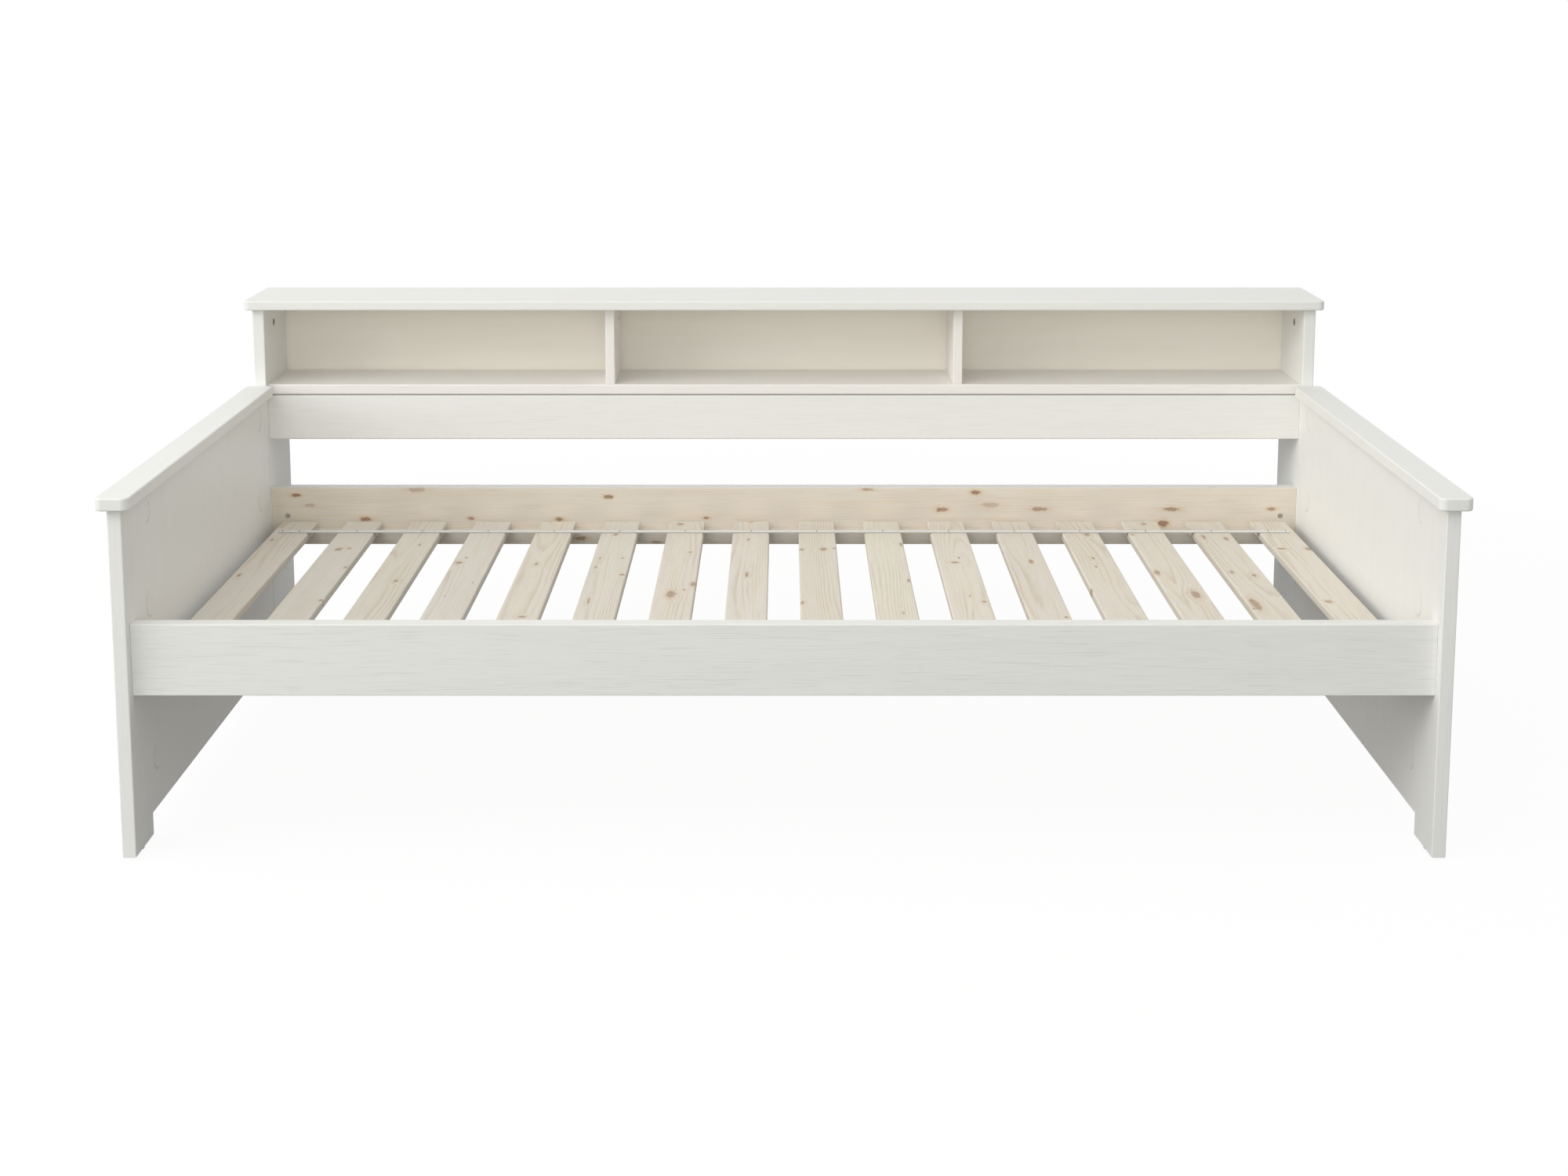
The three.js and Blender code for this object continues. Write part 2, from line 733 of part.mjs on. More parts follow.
// Shelf unit
const shelfUnit = new THREE.Group();
put(shelfUnit, "shelf_board", "paint", shelfBoard());
put(shelfUnit, "top_cap", "paint", topCap());
put(shelfUnit, "back_apron", "paint", apron());
put(shelfUnit, "back_panel", "backing", backPanel());
for (const [hand, side] of Object.entries(sides)) {
  put(shelfUnit, `shelf_gable_${hand}`, "paint", gable(side));
  put(shelfUnit, `shelf_divider_${hand}`, "paint", divider(side));
  put(shelfUnit, `glide_gable_${hand}`, "glide", glide(side * gableX, gableY));
  put(shelfUnit, `cam_lock_gable_${hand}`, "steel", camLock(gableCam(side)));
  put(shelfUnit, `cam_lock_divider_${hand}`, "steel", camLock(dividerCam(side)));
  put(shelfUnit, `cam_pin_gable_${hand}`, "steel", camPin(gableCam(side)));
  put(shelfUnit, `cam_pin_divider_${hand}`, "steel", camPin(dividerCam(side)));
}

const daybed = new THREE.Group();
daybed.add(bedFrame, slatBase, shelfUnit);

export default daybed;
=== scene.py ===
# Storage daybed: white glazed pine bed frame with a shelf unit behind the mattress, and a loose raw pine
# slatted base. Metres, +Z up, the open front towards -Y, origin on the floor under the middle of the bed.

import math
import random

import bmesh
import bpy
from mathutils import Euler, Matrix, Vector


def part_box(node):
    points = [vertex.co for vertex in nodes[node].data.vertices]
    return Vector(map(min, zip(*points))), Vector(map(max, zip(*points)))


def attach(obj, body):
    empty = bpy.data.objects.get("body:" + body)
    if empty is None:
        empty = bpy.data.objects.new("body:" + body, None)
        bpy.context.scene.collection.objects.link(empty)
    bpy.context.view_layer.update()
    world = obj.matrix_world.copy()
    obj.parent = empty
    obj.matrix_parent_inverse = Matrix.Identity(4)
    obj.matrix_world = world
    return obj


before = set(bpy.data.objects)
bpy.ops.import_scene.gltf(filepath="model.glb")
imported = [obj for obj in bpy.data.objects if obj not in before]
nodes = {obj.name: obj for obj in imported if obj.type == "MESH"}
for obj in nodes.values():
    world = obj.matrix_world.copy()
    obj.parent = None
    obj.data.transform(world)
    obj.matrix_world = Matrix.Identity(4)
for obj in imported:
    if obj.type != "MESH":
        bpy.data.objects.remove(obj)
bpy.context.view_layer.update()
scene = bpy.context.scene

# Camera: a long lens in front of the bed, well above the mattress, a little tilted and shifted down, so that
# the bed's uprights stay nearly upright in the frame.
camera_place = (0, -3.7519, 1.3265)
camera_tilt = 8.522
lens = bpy.data.cameras.new("camera")
lens.lens = 49.911
lens.sensor_width = 36
lens.shift_y = -0.172
camera = bpy.data.objects.new("camera", lens)
camera.location = camera_place
camera.rotation_euler = (math.radians(90 - camera_tilt), 0, 0)
scene.collection.objects.link(camera)
scene.camera = camera

# Studio: a white floor under an even pale sky, three large soft lamps at the left, and a weaker low one in
# front. Camera and reflections see the floor and the sky as white, and the floor keeps the bed's soft shadow.
scene.view_settings.view_transform = "Standard"
pure_white = (1, 1, 1, 1)
sky_colour = (1, 0.995, 0.98, 1)
sky_strength = 0.645
floor_size = 60
floor_colour = (0.22, 0.22, 0.215, 1)
shadow_share = 0.3
floor_white = 1.34
floor_clear = (2.2, 4.5)
# Each lamp's name, place, the point that it faces, width and power
lamps = (("left lamp", (-7, -4.2, 3), (0, 0, 0.4), 5, 137),
         ("upper lamp", (-2.5, -3.8, 5), (0, 0.2, 0.4), 4, 80),
         ("side lamp", (-7.5, -1.5, 3.2), (0, 0, 0.4), 4.5, 136),
         ("low lamp", (0, -7, 1.5), (0, 0, 0.5), 3, 60))


def feed(tree, target, value):
    # An input takes another node's output, or else a plain value
    if isinstance(value, bpy.types.NodeSocket):
        tree.links.new(value, target)
    else:
        target.default_value = value


def add_node(tree, kind, inputs=(), **settings):
    made = tree.nodes.new(kind)
    for setting, value in settings.items():
        setattr(made, setting, value)
    for socket, value in dict(inputs).items():
        feed(tree, made.inputs[socket], value)
    return made


def math_node(tree, operation, *values):
    return add_node(tree, "ShaderNodeMath", dict(enumerate(values)), operation=operation).outputs[0]


def vector_node(tree, operation, *values):
    return add_node(tree, "ShaderNodeVectorMath", dict(enumerate(values)), operation=operation).outputs


def ramp(tree, value, span, ends=(0, 1), shape="SMOOTHSTEP"):
    # Goes from the first of the ends to the last while the value goes through the span
    inputs = {"Value": value, "From Min": span[0], "From Max": span[1], "To Min": ends[0], "To Max": ends[1]}
    return add_node(tree, "ShaderNodeMapRange", inputs, interpolation_type=shape).outputs[0]


def seen_straight_or_reflected(tree):
    # 1 for the camera, reflections and views through glass, and 0 for the light that falls on the bed
    rays = add_node(tree, "ShaderNodeLightPath").outputs
    seen = rays["Is Camera Ray"]
    for kind in ("Is Glossy Ray", "Is Transmission Ray"):
        seen = math_node(tree, "MAXIMUM", seen, rays[kind])
    return seen


def mixed(tree, share, first, second):
    inputs = {0: share, 1: first.outputs[0], 2: second.outputs[0]}
    return add_node(tree, "ShaderNodeMixShader", inputs).outputs[0]


world = bpy.data.worlds.new("pale sky")
scene.world = world
world.use_nodes = True
sky = world.node_tree
sky.nodes.clear()
sky_light = add_node(sky, "ShaderNodeBackground", {"Color": sky_colour, "Strength": sky_strength})
sky_white = add_node(sky, "ShaderNodeBackground", {"Color": pure_white, "Strength": 1})
sky_mix = mixed(sky, seen_straight_or_reflected(sky), sky_light, sky_white)
add_node(sky, "ShaderNodeOutputWorld", {"Surface": sky_mix})

bpy.ops.object.select_all(action="DESELECT")
bpy.ops.mesh.primitive_plane_add(size=floor_size, location=(0, 0, 0))
floor = bpy.context.object
floor.name = "floor"
floor_paint = bpy.data.materials.new("studio floor")
floor_paint.use_nodes = True
ground = floor_paint.node_tree
ground.nodes.clear()
ground_place = add_node(ground, "ShaderNodeTexCoord").outputs["Object"]
ground_away = vector_node(ground, "LENGTH", ground_place)["Value"]
ground_glow = ramp(ground, ground_away, floor_clear, (floor_white, 1))
ground_share = ramp(ground, ground_away, floor_clear, (1 - shadow_share, 1))
ground_share = math_node(ground, "MULTIPLY", seen_straight_or_reflected(ground), ground_share)
ground_lit = add_node(ground, "ShaderNodeBsdfDiffuse", {"Color": floor_colour})
ground_white = add_node(ground, "ShaderNodeEmission", {"Color": pure_white, "Strength": ground_glow})
ground_mix = mixed(ground, ground_share, ground_lit, ground_white)
add_node(ground, "ShaderNodeOutputMaterial", {"Surface": ground_mix})
floor.data.materials.append(floor_paint)

for name, place, target, width, power in lamps:
    lamp = bpy.data.lights.new(name, "AREA")
    lamp.shape = "DISK"
    lamp.size = width
    lamp.energy = power
    stand = bpy.data.objects.new(name, lamp)
    stand.location = place
    stand.rotation_euler = (Vector(target) - Vector(place)).to_track_quat("-Z", "Y").to_euler()
    stand.visible_camera = False
    scene.collection.objects.link(stand)

# Side panels: solid pine boards, edge glued and sanded, with a foot at each end and a shallow relief between
# them. They are brushed and white glazed, so that the growth rings and some knots stand out under the glaze.
# Grain runs up the panel. A board's rings lie round its pith, a line along the grain behind its face.
grain_turns = {"X": (0, 0, 0), "Y": (0, 0, -math.pi / 2), "Z": (0, math.pi / 2, 0)}
# Growth: a scale is along the grain and twice across it, and a span is from where a mark begins to its full
ring_width = 0.0028
year_end = 0.25
year_levels = ((0.12, 0.0), (0.55, 0.1), (0.85, 1.0), (0.94, 0.85))
wobble_scale = (1.2, 6, 6)
wobble_depth = 0.03
ripple_scale = (7, 90, 90)
ripple_depth = 0.002
fibre_scale = (22, 700, 700)
cloud_scale = (2.6, 30, 30)
cloud_span = (0.38, 0.66)
resin_scale = (3, 120, 120)
resin_span = (0.58, 0.72)
groove_scale = (13, 640, 640)
groove_span = (0.58, 0.68)
# Knots: an edge is from full to nothing, in half widths of the knot
knot_depth = 50
knot_rings = 15
knot_ring_tone = 0.16
core_edge = (0.75, 1.05)
halo_edge = (0.8, 2.3)
rim_inner_edge = (0.88, 1.0)
rim_outer_edge = (1.0, 1.14)
bend_edge = (0.2, 3.4)
bend_depth = 0.005
facing_span = (-0.3, 0.9)
outline_scale = 110
plain_uneven = 1.3
arc_uneven = 0.3
# Glaze: how far each mark of the wood darkens it, dulls it and stands out of it
glaze_light = (0.9, 0.9, 0.868)
glaze_dark = (0.784, 0.784, 0.747)
# The seam colour is painted shade: a dark band along the seams where boards meet, standing in for the shadow in
# the groove between them. The same colour also draws the dark rim of knots under the glaze
glaze_seam_shade_and_knot_rim = (0.38, 0.37, 0.34, 1)
seam_shade_width = 0.0014
glaze_tilt = (0, 0.25, 0.3)
glaze_relief = 0.00014
glaze_roughness = 0.42
glaze_gloss = 0.35
groove_tone = 0.05
groove_figure_tone = 1.1
fibre_tone = 0.18
fibre_dulling = 0.18
fibre_height = 0.5
core_tone = 0.2
rim_height = 2.2


def summed(tree, start, *parts):
    # The start with each part's value added, times its share
    total = start
    for value, share in parts:
        total = math_node(tree, "MULTIPLY_ADD", value, share, total)
    return total


def add_sockets(tree, direction, names, kind="NodeSocketFloat"):
    for name in names:
        tree.interface.new_socket(name, in_out=direction, socket_type=kind)


def growth_group():
    # Latewood lines, fine fibres, slow cloudiness, resin streaks and brush grooves of a board whose grain
    # runs along X, with its pith on the X axis. Bend is how strongly knots push the rings aside
    tree = bpy.data.node_groups.new("pine growth", "ShaderNodeTree")
    add_sockets(tree, "INPUT", ["Board"], "NodeSocketVector")
    add_sockets(tree, "INPUT", ["Bend"])
    add_sockets(tree, "OUTPUT", ("Late", "Fibre", "Cloud", "Resin", "Groove"))
    inside = tree.nodes.new("NodeGroupInput").outputs

    def stretched_noise(scale, detail, roughness=0.5):
        place = vector_node(tree, "MULTIPLY", inside["Board"], scale)[0]
        inputs = {"Vector": place, "Scale": 1, "Detail": detail, "Roughness": roughness}
        return add_node(tree, "ShaderNodeTexNoise", inputs).outputs[0]

    across = vector_node(tree, "MULTIPLY", inside["Board"], (0, 1, 1))[0]
    radius = vector_node(tree, "LENGTH", across)["Value"]
    wobble = stretched_noise(wobble_scale, 1)
    ripple = stretched_noise(ripple_scale, 1)
    radius = summed(tree, radius, (wobble, wobble_depth), (ripple, ripple_depth),
                    (inside["Bend"], bend_depth))
    year = math_node(tree, "FRACT", math_node(tree, "DIVIDE", radius, ring_width))
    late = add_node(tree, "ShaderNodeValToRGB", {"Fac": year})
    steps = late.color_ramp.elements
    for step in steps:
        step.color = (year_end, year_end, year_end, 1)
    for position, level in year_levels:
        steps.new(position).color = (level, level, level, 1)
    marks = {"Late": late.outputs["Color"],
             "Fibre": stretched_noise(fibre_scale, 3, 0.6),
             "Cloud": ramp(tree, stretched_noise(cloud_scale, 2), cloud_span),
             "Resin": ramp(tree, stretched_noise(resin_scale, 2), resin_span),
             "Groove": ramp(tree, stretched_noise(groove_scale, 1), groove_span, shape="LINEAR")}
    result = tree.nodes.new("NodeGroupOutput")
    for name, value in marks.items():
        tree.links.new(value, result.inputs[name])
    return tree


def knot_group():
    # One knot: a branch cut across. Size has its half width on each axis, and a long one through the board.
    # Uneven is how far its outline strays. Its dark rim is open on the side away from Lean. Core, Halo, Rim
    # and Bend come in from the board's other knots, and go out with this one added
    tree = bpy.data.node_groups.new("pine knot", "ShaderNodeTree")
    add_sockets(tree, "INPUT", ("Place", "Centre", "Size", "Lean"), "NodeSocketVector")
    add_sockets(tree, "INPUT", ("Strength", "Uneven", "Core", "Halo", "Rim", "Bend"))
    add_sockets(tree, "OUTPUT", ("Core", "Halo", "Rim", "Bend"))
    inside = tree.nodes.new("NodeGroupInput").outputs
    offset = vector_node(tree, "SUBTRACT", inside["Place"], inside["Centre"])[0]
    offset = vector_node(tree, "DIVIDE", offset, inside["Size"])[0]
    outline = {"Vector": inside["Place"], "Scale": outline_scale, "Detail": 2}
    stray = math_node(tree, "SUBTRACT", add_node(tree, "ShaderNodeTexNoise", outline).outputs[0], 0.5)
    stray = math_node(tree, "MULTIPLY", stray, inside["Uneven"])
    away = math_node(tree, "ADD", vector_node(tree, "LENGTH", offset)["Value"], stray)

    def fade(edge):
        return ramp(tree, away, edge, (1, 0))

    rings = math_node(tree, "SINE", math_node(tree, "MULTIPLY", away, knot_rings))
    rings = summed(tree, 1 - knot_ring_tone, (rings, knot_ring_tone))
    rim = math_node(tree, "SUBTRACT", fade(rim_outer_edge), fade(rim_inner_edge))
    facing = vector_node(tree, "DOT_PRODUCT", offset, inside["Lean"])["Value"]
    facing = ramp(tree, facing, facing_span, shape="LINEAR")
    marks = {"Core": math_node(tree, "MULTIPLY", fade(core_edge), rings),
             "Halo": fade(halo_edge),
             "Rim": math_node(tree, "MULTIPLY", rim, facing)}
    result = tree.nodes.new("NodeGroupOutput")
    for name, value in marks.items():
        value = math_node(tree, "MULTIPLY", value, inside["Strength"])
        tree.links.new(math_node(tree, "MAXIMUM", value, inside[name]), result.inputs[name])
    tree.links.new(math_node(tree, "ADD", fade(bend_edge), inside["Bend"]), result.inputs["Bend"])
    return tree


pine_growth = growth_group()
pine_knot = knot_group()
no_knots = {"Core": 0.0, "Halo": 0.0, "Rim": 0.0, "Bend": 0.0}


def board_pattern(tree, grain, pith, tilt, knots=()):
    # Growth and knots of one board, whose grain is tilted by some degrees. A knot is its centre, its half
    # sizes and its strength. One with a lean as well shows as an open arc, and has a smoother outline
    place = add_node(tree, "ShaderNodeTexCoord").outputs["Object"]
    turn = Euler([turned + math.radians(tilted) for turned, tilted in zip(grain_turns[grain], tilt)])
    shift = -(turn.to_matrix() @ Vector(pith))
    inputs = {"Vector": place, "Rotation": turn, "Location": shift}
    board = add_node(tree, "ShaderNodeMapping", inputs).outputs[0]
    eyes = no_knots
    for centre, size, strength, *lean in knots:
        inputs = {"Place": place, "Centre": centre, "Size": size, "Strength": strength, **eyes}
        inputs["Uneven"] = arc_uneven if lean else plain_uneven
        inputs["Lean"] = lean[0] if lean else (0, 0, 0)
        knot = add_node(tree, "ShaderNodeGroup", inputs, node_tree=pine_knot).outputs
        eyes = {name: knot[name] for name in eyes}
    inputs = {"Board": board, "Bend": eyes["Bend"]}
    growth = add_node(tree, "ShaderNodeGroup", inputs, node_tree=pine_growth).outputs
    return growth, eyes, place


def two_tone(tree, share, first, second):
    inputs = {0: share, 6: first, 7: second}
    return add_node(tree, "ShaderNodeMix", inputs, data_type="RGBA").outputs[2]


def tinted(colour, tint):
    return tuple(value * change for value, change in zip(colour, tint)) + (1,)


def new_material(name):
    material = bpy.data.materials.new(name)
    material.use_nodes = True
    tree = material.node_tree
    return material, tree, tree.nodes["Principled BSDF"]


def set_surface(tree, shader, colour, rough, height, relief, strength=1):
    inputs = {"Height": height, "Distance": relief, "Strength": strength}
    bump = add_node(tree, "ShaderNodeBump", inputs).outputs[0]
    for socket, value in (("Base Color", colour), ("Roughness", rough), ("Normal", bump)):
        feed(tree, shader.inputs[socket], value)


def glaze_finish(tree, growth, eyes, figure, tint=(1, 1, 1)):
    # Colour, roughness and height of the brushed glaze. Figure is how far the growth rings show through it
    streak = math_node(tree, "MULTIPLY", math_node(tree, "MULTIPLY", growth["Late"], growth["Cloud"]), figure)
    groove_share = groove_tone + figure * groove_figure_tone
    share = summed(tree, streak, (growth["Fibre"], fibre_tone), (growth["Groove"], groove_share),
                   (eyes["Core"], core_tone))
    colour = two_tone(tree, share, tinted(glaze_light, tint), tinted(glaze_dark, tint))
    colour = two_tone(tree, eyes["Rim"], colour, glaze_seam_shade_and_knot_rim)
    rough = summed(tree, glaze_roughness, (growth["Fibre"], fibre_dulling))
    height = summed(tree, streak, (growth["Fibre"], fibre_height), (growth["Groove"], -groove_share),
                    (eyes["Rim"], -rim_height))
    return colour, rough, height


def glazed_board(name, grain, pith, figure, knots=(), shaded_seam=None, tint=(1, 1, 1)):
    # Shaded seam is the axis and the place of an end that meets a neighbour, where a narrow dark band is
    # painted shade in the seam
    material, tree, shader = new_material(name)
    growth, eyes, place = board_pattern(tree, grain, pith, glaze_tilt, knots)
    colour, rough, height = glaze_finish(tree, growth, eyes, figure, tint)
    if shaded_seam:
        axis, end = shaded_seam
        along = add_node(tree, "ShaderNodeSeparateXYZ", {0: place}).outputs[axis]
        away = math_node(tree, "ABSOLUTE", math_node(tree, "SUBTRACT", along, end))
        # Painted shade: a narrow dark band along the seam end
        colour = two_tone(tree, math_node(tree, "LESS_THAN", away, seam_shade_width), colour, glaze_seam_shade_and_knot_rim)
    set_surface(tree, shader, colour, rough, height, glaze_relief)
    shader.inputs["Specular IOR Level"].default_value = glaze_gloss
    return material


def dress(name, material):
    mesh = nodes[name].data
    mesh.materials.clear()
    mesh.materials.append(material)


panel_middle = 1.0113
panel_figure = 0.2
pith_outside = 0.2
pith_spread = 0.4
pith_forward = 0.1
arc_drop = -0.4
# Painted knots on both panels: place along the panel, height, half width, half height, and where the arc's
# dark side lies, 1 to the rear or -1 to the front
panel_knots = ((-0.424, 0.522, 0.015, 0.019, 1), (-0.424, 0.375, 0.02, 0.022, -1),
               (-0.424, 0.122, 0.016, 0.02, -1), (0.313, 0.522, 0.02, 0.022, 1),
               (0.313, 0.365, 0.018, 0.021, -1), (-0.05, 0.2, 0.011, 0.019, 1))
# The dark band along each panel's rear edge is painted shade in its seam with the gable
for side, name, strength in ((-1, "side_panel_left", 0.55), (1, "side_panel_right", 0.4)):
    knots = [((0, y, z), (knot_depth, width, height), strength, (0, turned, arc_drop))
             for y, z, width, height, turned in panel_knots]
    pith = (side * (panel_middle + pith_outside), side * pith_spread - pith_forward, 0)
    dress(name, glazed_board(name + " glaze", "Z", pith, panel_figure, knots, shaded_seam=("Y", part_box(name)[1].y)))

# Arm caps: flat pine boards with round corners, doweled on the side panels and glazed with them. Their grain
# runs from front to back.
for side, name in ((-1, "arm_cap_left"), (1, "arm_cap_right")):
    dress(name, glazed_board(name + " glaze", "Y", pith=(side * 1.09, 0, 0.51), figure=0.22))

# Rails: planks between the panels and between the gables, grain along the bed. Outside they are glazed like
# the rest. The face towards the mattress is planed and left raw.
raw_light = (0.868, 0.827, 0.745)
raw_dark = (0.63, 0.525, 0.4)
raw_amber = (0.81, 0.695, 0.525, 1)
knot_halo = (0.69, 0.51, 0.33, 1)
knot_heart = (0.31, 0.2, 0.13, 1)
rail_heart = (0.265, 0.115, 0.058, 1)
late_tone = 0.1
late_cloud_tone = 0.38
raw_fibre_tone = 0.2
raw_groove_tone = 0.2
amber_share = 0.5
halo_share = 0.5
core_share = 0.85
rim_share = 0.2
raw_relief = 0.0001
raw_roughness = 0.56
raw_fibre_dulling = 0.2
raw_gloss = 0.25
rail_tint = (0.97, 0.95, 0.925)
rail_tilt = (0, 0.1, 0.15)
rail_figure = 0.42
rail_raw_height = 0.45
rail_gloss = 0.3
rail_skin = 0.0006
rail_pith_depth = 0.05
rail_pith_level = 0.17


def raw_finish(tree, growth, eyes, tint, heart):
    # Colour, roughness and height of planed pine, with resin here and there along its latewood. Heart is the
    # colour of its knots
    streak = summed(tree, late_tone, (growth["Cloud"], late_cloud_tone))
    streak = math_node(tree, "MULTIPLY", growth["Late"], streak)
    share = summed(tree, streak, (growth["Fibre"], raw_fibre_tone), (growth["Groove"], raw_groove_tone))
    colour = two_tone(tree, share, tinted(raw_light, tint), tinted(raw_dark, tint))
    stains = ((growth["Resin"], amber_share, raw_amber), (eyes["Halo"], halo_share, knot_halo),
              (eyes["Core"], core_share, heart), (eyes["Rim"], rim_share, heart))
    for mark, share, stain in stains:
        colour = two_tone(tree, math_node(tree, "MULTIPLY", mark, share), colour, stain)
    rough = summed(tree, raw_roughness, (growth["Fibre"], raw_fibre_dulling))
    height = math_node(tree, "ADD", growth["Late"], growth["Fibre"])
    return colour, rough, height


def raw_board(name, grain, pith, tilt=(0, 0.2, 0.3), knots=(), tint=(1, 1, 1)):
    material, tree, shader = new_material(name)
    growth, eyes, place = board_pattern(tree, grain, pith, tilt, knots)
    colour, rough, height = raw_finish(tree, growth, eyes, tint, knot_heart)
    set_surface(tree, shader, colour, rough, height, raw_relief)
    shader.inputs["Specular IOR Level"].default_value = raw_gloss
    return material


def rail_board(name, inner_face, side, pith, knots):
    # A glazed board whose inner face, at inner_face on Y and towards side, is raw
    material, tree, shader = new_material(name)
    growth, eyes, place = board_pattern(tree, "X", pith, rail_tilt, knots)
    glaze_colour, glaze_rough, glaze_height = glaze_finish(tree, growth, no_knots, rail_figure)
    raw_colour, raw_rough, raw_height = raw_finish(tree, growth, eyes, rail_tint, rail_heart)
    raw_height = math_node(tree, "MULTIPLY", raw_height, rail_raw_height)
    y = add_node(tree, "ShaderNodeSeparateXYZ", {0: place}).outputs["Y"]
    depth = math_node(tree, "MULTIPLY", math_node(tree, "SUBTRACT", y, inner_face), side)
    bare = math_node(tree, "GREATER_THAN", depth, -rail_skin)
    colour = two_tone(tree, bare, glaze_colour, raw_colour)
    rough = add_node(tree, "ShaderNodeMix", {0: bare, 2: glaze_rough, 3: raw_rough}).outputs[0]
    height = add_node(tree, "ShaderNodeMix", {0: bare, 2: glaze_height, 3: raw_height}).outputs[0]
    set_surface(tree, shader, colour, rough, height, glaze_relief)
    shader.inputs["Specular IOR Level"].default_value = rail_gloss
    return material


def face_to_mattress(name, side):
    # Place on Y of the inner face of a piece that lies in front, with side 1, or at the rear, with side -1
    low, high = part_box(name)
    return high.y if side > 0 else low.y


# Knots across the rails' raw faces: place along the bed, height, half length, half height, strength
rear_rail_knots = (
    (-0.954, 0.3560, 0.0097, 0.0039, 1.0), (-0.927, 0.3354, 0.0117, 0.0035, 0.4),
    (-0.818, 0.3082, 0.0097, 0.0047, 1.0), (-0.715, 0.3669, 0.0194, 0.0047, 0.5),
    (-0.612, 0.3095, 0.0070, 0.0035, 0.9), (-0.439, 0.3080, 0.0083, 0.0040, 1.0),
    (-0.343, 0.3528, 0.0083, 0.0040, 1.0), (-0.152, 0.3102, 0.0066, 0.0031, 0.9),
    (0.1625, 0.3677, 0.0124, 0.0035, 0.7), (0.308, 0.3273, 0.0117, 0.0051, 0.9),
    (0.374, 0.3619, 0.0097, 0.0047, 1.0), (0.4035, 0.3366, 0.0194, 0.0051, 0.4),
    (0.500, 0.3281, 0.0155, 0.0039, 0.8), (0.741, 0.2997, 0.0109, 0.0062, 1.0),
    (0.7565, 0.3280, 0.0155, 0.0039, 0.8), (0.953, 0.3284, 0.0086, 0.0035, 0.8))
front_rail_knots = (
    (-0.72, 0.337, 0.0110, 0.0045, 0.9), (-0.31, 0.288, 0.0090, 0.0050, 0.8),
    (0.12, 0.331, 0.0130, 0.0050, 0.9), (0.55, 0.302, 0.0100, 0.0040, 0.8),
    (0.86, 0.345, 0.0080, 0.0035, 0.7))
for name, side, marks in (("rear_rail", -1, rear_rail_knots), ("front_rail", 1, front_rail_knots)):
    knots = [((x, 0, z), (length, knot_depth, height), strength) for x, z, length, height, strength in marks]
    inner_face = face_to_mattress(name, side)
    pith = (0, inner_face - side * rail_pith_depth, rail_pith_level)
    dress(name, rail_board(name + " glaze and raw face", inner_face, side, pith, knots))

# Battens: raw pine strips glued and screwed along the rails' inner faces. The countersunk zinc plated screws
# sit under every third slat.
battens = (("front", "front_batten", 1), ("rear", "rear_batten", -1))
batten_tint = (0.97, 0.96, 0.95)
batten_pith_in = 0.03
batten_pith_down = 0.07
# Knots: place along the batten, height, half length, half height, strength
batten_knots = ((-0.395, 0.2752, 0.013, 0.0045, 1.0), (-0.249, 0.2673, 0.009, 0.0025, 0.8),
                (0.33, 0.281, 0.007, 0.003, 0.9), (0.81, 0.272, 0.008, 0.0035, 0.8))
zinc_colour = (0.62, 0.62, 0.6, 1)
zinc_dullness = 0.78
zinc_relief = 0.00004
bloom_scale = 900
bloom_dulling = 0.22
screw_slats = (1, 4, 7, 10, 13, 16)
screw_head = 0.004
screw_tip = 0.0018
screw_depth = 0.003
screw_rim = 0.0006
screw_dish = 0.0002
recess_length = 0.0042
recess_width = 0.0009
recess_height = 0.0032
recess_levels = (0.0002, 0.00021)


def middle_of(name):
    low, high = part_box(name)
    return (low + high) / 2


for end, name, side in battens:
    knots = [((x * -side, 0, z), (length, knot_depth, height), strength)
             for x, z, length, height, strength in batten_knots]
    middle = middle_of(name)
    pith = (0, middle.y + side * batten_pith_in, middle.z - batten_pith_down)
    dress(name, raw_board(name + " pine", "X", pith, knots=knots, tint=batten_tint))


def zinc(name, colour, roughness):
    # Zinc: metal with a fine frosted bloom
    material, tree, shader = new_material(name)
    place = add_node(tree, "ShaderNodeTexCoord").outputs["Object"]
    inputs = {"Vector": place, "Scale": bloom_scale, "Detail": 3}
    bloom = add_node(tree, "ShaderNodeTexNoise", inputs).outputs[0]
    dull = tuple(value * zinc_dullness for value in colour[:3]) + (1,)
    rough = summed(tree, roughness, (bloom, bloom_dulling))
    set_surface(tree, shader, two_tone(tree, bloom, dull, colour), rough, bloom, zinc_relief, strength=0.6)
    shader.inputs["Metallic"].default_value = 1
    return material


def add_primitive(add, name, **settings):
    bpy.ops.object.select_all(action="DESELECT")
    add(**settings)
    made = bpy.context.object
    made.name = name
    made.data.name = name
    return made


def apply_place():
    bpy.ops.object.transform_apply(location=True, rotation=True, scale=True)


def select_faces(test):
    mesh = bmesh.from_edit_mesh(bpy.context.object.data)
    for face in mesh.faces:
        face.select_set(False)
    for face in mesh.faces:
        if test(face.calc_center_median(), face.normal):
            face.select_set(True)
    bmesh.update_edit_mesh(bpy.context.object.data)


